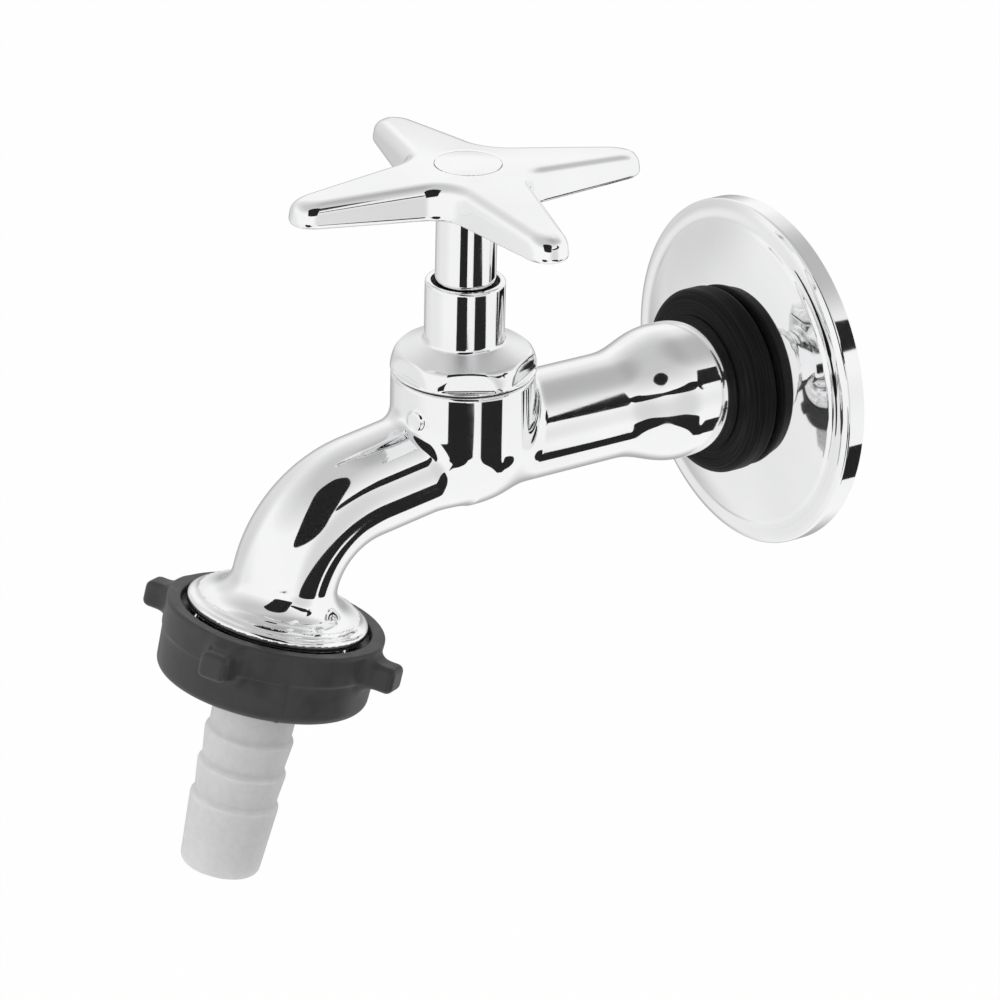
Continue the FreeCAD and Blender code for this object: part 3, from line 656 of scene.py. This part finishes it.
def crossField(part):
    turn = math.radians(part["turn"])
    centre = (part["notch"] + part["notchR"]) * math.cos(math.radians(45))
    across = part["reach"] - part["tipRound"] - centre
    drop = centre - part["tipHalf"]
    lean = math.asin(part["notchR"] / math.hypot(across, drop)) - math.atan2(drop, across)
    touchU = centre + part["notchR"] * math.sin(lean)
    touchV = centre - part["notchR"] * math.cos(lean)
    thinned = part["top"] - part["sink"] - part["tipThick"] - part["seat"]
    tall = part["top"] - part["seat"]

    def field(x, y, z):
        localX = x * math.cos(turn) + y * math.sin(turn)
        localY = y * math.cos(turn) - x * math.sin(turn)
        u = np.maximum(np.abs(localX), np.abs(localY))
        v = np.minimum(np.abs(localX), np.abs(localY))
        along = (u - touchU) * math.cos(lean) + (v - touchV) * math.sin(lean)
        flank = (v - touchV) * math.cos(lean) - (u - touchU) * math.sin(lean)
        notch = part["notchR"] - np.hypot(u - centre, v - centre)
        outline = softCut(np.where(along > 0, flank, notch), part["reach"] - u, part["tipBlend"])
        outline = outline + part["draft"] * (z - part["seat"]) / tall
        r = np.hypot(x, y)
        out = np.clip((r - part["hubR"]) / (part["reach"] - part["hubR"]), 0, part["overrun"])
        solid = softCut(outline, part["top"] - part["sink"] * out - z, part["topEdge"])
        solid = softCut(solid, z - part["seat"] - thinned * out, part["footEdge"])
        square = np.maximum(u - part["socket"], z - part["socketTop"])
        well = np.maximum(r - part["wellR"], part["socketTop"] - part["wellLap"] - z)
        cap = np.maximum(r - part["capR"], part["capSeat"] - z)
        return softCut(solid, np.minimum(square, np.minimum(well, cap)), part["holeEdge"])
    return field


handleSkin = fieldPiece("handleSkin", crossField(cross), cross, byValve, chrome)
dress(handleSkin, "spindle_set", "handle")


# Flange: dished sheet with a shallow groove and a rolled edge
flange = {
    "front": [(28.4, 0.0, 0.15), (29.2, 0.0, 0.15), (29.2, 3.2, 0.4), (27.7, 3.9, 0.8), (26.1, 3.75, 0.5),
              (25.2, 4.2, 0.3), (20.4, 5.75, 3.6), (15.0, 6.6, 1.0), (10.68, 6.6, 0.15)],
    "back": [(10.68, 5.8, 0.15), (15.0, 5.8, 1.0), (20.2, 4.95, 3.0), (24.9, 3.45, 0.3), (26.1, 2.95, 0.4),
             (27.5, 3.1, 0.5), (28.4, 2.6, 0.4)],
    "segments": 192,
}
flangeSkin = lathePiece("flangeSkin", flange["front"] + flange["back"], flange["segments"], byWall, chrome)
dress(flangeSkin, "tap_set", "wall_flange")


# Union nut: slightly tapering shell, four lugs with flared roots, mould lines and an inner thread
nut = {
    "wallR": 17.2, "taper": 0.04, "middle": -6.0, "lap": 2.0, "top": -0.2, "foot": -12.0,
    "topEdge": 0.5, "footEdge": 1.5, "recessR": 15.3, "recessFoot": -1.6, "boreR": 13.45, "webTop": -10.2,
    "holeR": 6.97, "holeEdge": 0.25,
    "lugs": 4, "lugTurn": 34.0, "lugIn": 15.5, "lugOut": 22.1, "lugHalf": 2.4, "lugZ": -3.7, "lugTall": 2.15,
    "lugEdge": 1.1, "lugFlare": 2.4, "step": 0.16, "stepZ": -5.2, "stepSharp": 9,
    "seam": 0.14, "seamWide": 0.3, "seamTurn": -22.0,
    "low": (-22.8, -22.8, -12.6), "high": (22.8, 22.8, 0.6), "grid": 0.36,
}
nutThread = dict(threadLook, root=13.45, crest=12.45, low=-5.2, high=-2.2, wide=0.30, flat=0.05, start=180.0)


def nutField(part):
    seam = math.radians(part["seamTurn"])
    lugTurns = [math.radians(part["lugTurn"] + 360 / part["lugs"] * k) for k in range(part["lugs"])]
    lugMiddle, lugLong = (part["lugIn"] + part["lugOut"]) / 2, (part["lugOut"] - part["lugIn"]) / 2
    upperFoot, lowerTop = part["middle"] - part["lap"], part["middle"] + part["lap"]

    def field(x, y, z):
        r = np.hypot(x, y)
        ledge = part["step"] / (1 + np.exp((part["stepZ"] - z) * part["stepSharp"]))
        wall = r - part["taper"] * (z - part["middle"]) - ledge
        upper = roundBar(wall, z, upperFoot, part["top"], part["wallR"], part["topEdge"])
        lower = roundBar(wall, z, part["foot"], lowerTop, part["wallR"], part["footEdge"])
        shell = np.minimum(upper, lower)
        across = -x * math.sin(seam) + y * math.cos(seam)
        front = x * math.cos(seam) + y * math.sin(seam) > 0
        line = part["seam"] * np.exp(-(across / part["seamWide"]) ** 2)
        shell = shell - np.where(front & (z < part["stepZ"]), line, 0)
        for turn in lugTurns:
            out = x * math.cos(turn) + y * math.sin(turn) - lugMiddle
            side = -x * math.sin(turn) + y * math.cos(turn)
            lug = roundBox(out, side, z - part["lugZ"], lugLong, part["lugHalf"], part["lugTall"],
                           part["lugEdge"])
            shell = softUnion(shell, lug, part["lugFlare"])
        recess = np.maximum(r - part["recessR"], part["recessFoot"] - z)
        bore = np.maximum(r - part["boreR"], part["webTop"] - z)
        hollow = np.minimum(np.minimum(recess, bore), r - part["holeR"])
        return softCut(np.maximum(shell, z - part["top"]), hollow, part["holeEdge"])
    return field


nutSkin = fieldPiece("nutSkin", nutField(nut), nut, byOutlet, nutPlastic)
dress(nutSkin, "nut_set", "union_nut")
dress(threadPiece("nutThread", nutThread, byOutlet, nutPlastic), "nut_set")


# Hose tail: tapering end, softened barbs, and a flange inside the nut
tail = {
    "boreR": 4.8, "boreEdge": 0.12, "tipZ": -43.93, "tipR": 6.4, "tipEdge": 1.45,
    "barbs": 3, "barbZ": -32.0, "barbPitch": 5.7, "barbR": 7.2, "barbEdge": 0.35,
    "rootR": 6.64, "rootRise": 0.8, "rootEdge": 0.3, "stemR": 6.9, "stemZ": -12.2, "stemEdge": 0.2,
    "flangeR": 12.6, "flangeFoot": -10.2, "flangeTop": -8.4, "flangeEdge": 0.3, "segments": 128,
}


def tailProfile(part):
    corners = [(part["boreR"], part["tipZ"], part["boreEdge"])]
    corners.append((part["tipR"], part["tipZ"], part["tipEdge"]))
    for k in range(part["barbs"]):
        z = part["barbZ"] + part["barbPitch"] * k
        corners.append((part["barbR"], z, part["barbEdge"]))
        corners.append((part["rootR"], z + part["rootRise"], part["rootEdge"]))
    corners.append((part["stemR"], part["stemZ"], part["stemEdge"]))
    corners.append((part["stemR"], part["flangeFoot"], part["stemEdge"]))
    corners.append((part["flangeR"], part["flangeFoot"], part["flangeEdge"]))
    corners.append((part["flangeR"], part["flangeTop"], part["flangeEdge"]))
    corners.append((part["boreR"], part["flangeTop"], part["flangeEdge"]))
    return corners


tailSkin = lathePiece("tailSkin", tailProfile(tail), tail["segments"], byOutlet, tailPlastic)
dress(tailSkin, "tail_set", "hose_tail")


# Camera at the photograph's place: distance in metres, aside and above in millimetres
cameraPlace = {
    "azimuth": 56.45, "elevation": 25.7, "roll": 1.58, "distance": 0.62, "lens": 140.5, "sensor": 36.0,
    "aside": -6.07, "above": 9.40, "near": 0.01,
}
studioMiddle = Vector((0, valveY * mm, 0))


def directionOf(azimuth, elevation):
    turn = math.radians(azimuth)
    lift = math.radians(elevation)
    return Vector((math.sin(turn) * math.cos(lift), -math.cos(turn) * math.cos(lift), math.sin(lift)))


def addCamera(place):
    turn = math.radians(place["azimuth"])
    roll = math.radians(place["roll"])
    back = directionOf(place["azimuth"], place["elevation"])
    level = Vector((math.cos(turn), math.sin(turn), 0))
    upright = back.cross(level)
    right = level * math.cos(roll) + upright * math.sin(roll)
    up = upright * math.cos(roll) - level * math.sin(roll)
    spot = studioMiddle + back * place["distance"]
    spot = spot - right * place["aside"] * mm - up * place["above"] * mm
    data = bpy.data.cameras.new("photoCamera")
    data.lens = place["lens"]
    data.sensor_width = place["sensor"]
    data.clip_start = place["near"]
    data.dof.use_dof = False
    camera = bpy.data.objects.new("photoCamera", data)
    bpy.context.scene.collection.objects.link(camera)
    camera.matrix_world = Matrix.Translation(spot) @ Matrix((right, up, back)).transposed().to_4x4()
    bpy.context.scene.camera = camera


addCamera(cameraPlace)
print("camera", cameraPlace["distance"], "metres away")


# Studio: a light room, one large soft lamp, dark cards for the chrome to reflect, and a pale floor far below
roomLook = {                     # height in the room from 0 to 1, and the tone there
    "foot": (0.0, 0.95), "lowWall": (0.42, 1.0), "highWall": (0.74, 1.0), "ceiling": (0.96, 0.62),
}
softLamp = {"azimuth": 2, "elevation": 24, "distance": 0.95, "width": 0.62, "height": 0.46, "power": 2.4}
floorLook = {"depth": -1.0, "size": 6.0, "tone": 0.92, "rough": 0.7, "white": 0.97}
cardLook = {"distance": 0.9, "tone": 0.012, "rough": 1.0}
cards = {                        # outlines as azimuth and elevation, in degrees seen from the tap
    "cameraSide": [(28, 62), (36, 46), (42, 30), (46, 17), (60, 12), (80, 9), (82, 20), (84, 36), (87, 52),
                   (78, 65), (50, 70)],
    "sideStreak": [(84.5, 25.5), (85.5, 20), (100, 18.5), (112, 17.5), (118, 17.5), (121.3, 18.8),
                   (122.6, 18.6), (124, 14.5), (125.4, 12.8), (126.2, 18), (130, 20), (134, 22), (137, 30),
                   (136.5, 37), (134.5, 38), (130.2, 33.5), (126.6, 28.6), (124.6, 26.5), (122.2, 27.5),
                   (118, 29), (111, 30), (104, 29), (96, 28)],
    "leftBand": [(35.5, -13), (35.5, -28), (39, -42), (49, -50), (60, -42), (66, -31), (69, -26.5),
                 (75.5, -24.4), (75, -23.3), (69, -22.4), (63.5, -20.8), (60, -13), (48, -10.5), (38, -11)],
    "rightBand": [(86, -18), (87.5, -25), (93, -33), (102, -38), (112, -42), (124, -47), (134, -50.2),
                  (140, -50), (147, -49), (148.5, -46), (156, -43), (160, -38), (154, -32.5), (143, -29.5),
                  (134, -29), (131.6, -30.5), (132.2, -35), (131.8, -36.5), (128.5, -34.5), (125.5, -30),
                  (123.8, -26), (121, -22), (112, -19), (98, -16)],
}
greyAreas = {                    # soft darker parts of the room, also painted as shade on the floor's glow: azimuth, elevation, core, edge, tone
    "behindTap": (236, -28, 8, 46, 0.42),
    "leftFloor": (307, -26, 12, 50, 0.88),
    "leftWall": (284, 6, 10, 38, 0.78),
    "rightWall": (100, -2, 3, 30, 0.74),
    "overhead": (176, 60, 10, 34, 0.74),
}


def softAreas(tree, ray, areas):                            # tone by the ray's direction
    total = None
    for azimuth, elevation, core, edge, tone in areas.values():
        near = addNode(tree, "ShaderNodeVectorMath", operation="DOT_PRODUCT")
        near.inputs[1].default_value = directionOf(azimuth, elevation)
        tree.links.new(ray, near.inputs[0])
        fade = addNode(tree, "ShaderNodeMapRange", interpolation_type="SMOOTHSTEP")
        fade.inputs["From Min"].default_value = math.cos(math.radians(edge))
        fade.inputs["From Max"].default_value = math.cos(math.radians(core))
        fade.inputs["To Min"].default_value = 1.0
        fade.inputs["To Max"].default_value = tone
        tree.links.new(near.outputs["Value"], fade.inputs["Value"])
        if total is None:
            total = fade.outputs["Result"]
            continue
        both = addNode(tree, "ShaderNodeMath", operation="MULTIPLY")
        tree.links.new(total, both.inputs[0])
        tree.links.new(fade.outputs["Result"], both.inputs[1])
        total = both.outputs["Value"]
    return total


def addWorld(look, areas):                                  # white for the camera, the room for other rays
    world = bpy.data.worlds.new("studio")
    bpy.context.scene.world = world
    world.use_nodes = True
    tree = world.node_tree
    tree.nodes.clear()
    out = tree.nodes.new("ShaderNodeOutputWorld")
    seen = tree.nodes.new("ShaderNodeBackground")
    seen.inputs["Color"].default_value = (1, 1, 1, 1)
    room = tree.nodes.new("ShaderNodeBackground")
    coords = tree.nodes.new("ShaderNodeTexCoord")
    split = tree.nodes.new("ShaderNodeSeparateXYZ")
    height = tree.nodes.new("ShaderNodeMapRange")
    height.inputs["From Min"].default_value = -1.0
    tones = tree.nodes.new("ShaderNodeValToRGB")
    while len(tones.color_ramp.elements) < len(look):
        tones.color_ramp.elements.new(0.5)
    for element, (place, tone) in zip(tones.color_ramp.elements, look.values()):
        element.position = place
        element.color = (tone, tone, tone, 1)
    mix = tree.nodes.new("ShaderNodeMixShader")
    path = tree.nodes.new("ShaderNodeLightPath")
    tree.links.new(coords.outputs["Generated"], split.inputs["Vector"])
    tree.links.new(split.outputs["Z"], height.inputs["Value"])
    tree.links.new(height.outputs["Result"], tones.inputs["Fac"])
    tree.links.new(tones.outputs["Color"], room.inputs["Color"])
    tree.links.new(softAreas(tree, coords.outputs["Generated"], areas), room.inputs["Strength"])
    tree.links.new(path.outputs["Is Camera Ray"], mix.inputs["Fac"])
    tree.links.new(room.outputs["Background"], mix.inputs[1])
    tree.links.new(seen.outputs["Background"], mix.inputs[2])
    tree.links.new(mix.outputs["Shader"], out.inputs["Surface"])


def addSoftLamp(look):
    aim = directionOf(look["azimuth"], look["elevation"])
    data = bpy.data.lights.new("softLamp", "AREA")
    data.shape = "RECTANGLE"
    data.size = look["width"]
    data.size_y = look["height"]
    data.energy = look["power"]
    lamp = bpy.data.objects.new("softLamp", data)
    bpy.context.scene.collection.objects.link(lamp)
    lamp.location = studioMiddle + aim * look["distance"]
    lamp.rotation_euler = aim.to_track_quat("Z", "Y").to_euler()
    lamp.visible_glossy = False


def clearRays(tree, path):                                  # 1 for camera, glossy and transmission rays
    total = path.outputs["Is Camera Ray"]
    for name in ("Is Glossy Ray", "Is Transmission Ray"):
        most = addNode(tree, "ShaderNodeMath", operation="MAXIMUM")
        tree.links.new(total, most.inputs[0])
        tree.links.new(path.outputs[name], most.inputs[1])
        total = most.outputs["Value"]
    return total


def addFloor(look, areas):                                  # glows for clear rays, with painted shade in soft patches where metal reflects it, and keeps a faint shadow
    mat, tree, shader = newMaterial("paleFloor")
    shader.inputs["Base Color"].default_value = (look["tone"], look["tone"], look["tone"], 1)
    shader.inputs["Roughness"].default_value = look["rough"]
    out = next(node for node in tree.nodes if node.type == "OUTPUT_MATERIAL")
    path = tree.nodes.new("ShaderNodeLightPath")
    share = addNode(tree, "ShaderNodeMath", operation="MULTIPLY")
    share.inputs[1].default_value = look["white"]
    glow = tree.nodes.new("ShaderNodeEmission")
    coords = tree.nodes.new("ShaderNodeTexCoord")
    moved = addNode(tree, "ShaderNodeVectorMath", operation="SUBTRACT")
    moved.inputs[1].default_value = studioMiddle
    ray = addNode(tree, "ShaderNodeVectorMath", operation="NORMALIZE")
    dimmed = addNode(tree, "ShaderNodeMath", operation="MAXIMUM")
    tree.links.new(coords.outputs["Object"], moved.inputs[0])
    tree.links.new(moved.outputs["Vector"], ray.inputs[0])
    # painted shade: for rays other than the camera's, the floor's glow is dimmed in soft patches by
    # direction
    tree.links.new(softAreas(tree, ray.outputs["Vector"], areas), dimmed.inputs[0])
    tree.links.new(path.outputs["Is Camera Ray"], dimmed.inputs[1])
    tree.links.new(dimmed.outputs["Value"], glow.inputs["Strength"])
    mix = tree.nodes.new("ShaderNodeMixShader")
    tree.links.new(clearRays(tree, path), share.inputs[0])
    tree.links.new(share.outputs["Value"], mix.inputs["Fac"])
    tree.links.new(shader.outputs["BSDF"], mix.inputs[1])
    tree.links.new(glow.outputs["Emission"], mix.inputs[2])
    tree.links.new(mix.outputs["Shader"], out.inputs["Surface"])
    half = look["size"] / 2
    mesh = bpy.data.meshes.new("floor")
    corners = [(-half, -half), (half, -half), (half, half), (-half, half)]
    mesh.from_pydata([(x, y, look["depth"]) for x, y in corners], [], [(0, 1, 2, 3)])
    mesh.materials.append(mat)
    floor = bpy.data.objects.new("floor", mesh)
    bpy.context.scene.collection.objects.link(floor)


def cardMaterial(name, look):
    mat, tree, shader = newMaterial(name)
    shader.inputs["Base Color"].default_value = (look["tone"], look["tone"], look["tone"], 1)
    shader.inputs["Roughness"].default_value = look["rough"]
    return mat


def roundedLoop(corners, steps=6):                          # a smooth curve through the corners
    points = []
    count = len(corners)
    for k in range(count):
        p0, p1, p2, p3 = (np.array(corners[(k + j - 1) % count], float) for j in range(4))
        for i in range(steps):
            t = i / steps
            points.append(0.5 * (2 * p1 + (p2 - p0) * t + (2 * p0 - 5 * p1 + 4 * p2 - p3) * t ** 2
                                 + (3 * p1 - p0 - 3 * p2 + p3) * t ** 3))
    return points


def addCard(name, outline, look, material):
    rays = [directionOf(azimuth, elevation) for azimuth, elevation in roundedLoop(outline)]
    facing = sum(rays, Vector()).normalized()
    build = bmesh.new()
    rim = [build.verts.new(studioMiddle + ray * look["distance"] / ray.dot(facing)) for ray in rays]
    build.faces.new(rim)
    bmesh.ops.triangulate(build, faces=build.faces[:])
    mesh = bpy.data.meshes.new(name)
    build.to_mesh(mesh)
    build.free()
    mesh.materials.append(material)
    card = bpy.data.objects.new(name, mesh)
    bpy.context.scene.collection.objects.link(card)
    card.visible_camera = False
    card.visible_diffuse = False
    card.visible_shadow = False


addWorld(roomLook, greyAreas)
addSoftLamp(softLamp)
addFloor(floorLook, greyAreas)
cardBlack = cardMaterial("cardBlack", cardLook)
for cardName, outline in cards.items():
    addCard(cardName, outline, cardLook, cardBlack)
bpy.context.scene.view_settings.view_transform = "Standard"
print("studio", len(cards), "cards")
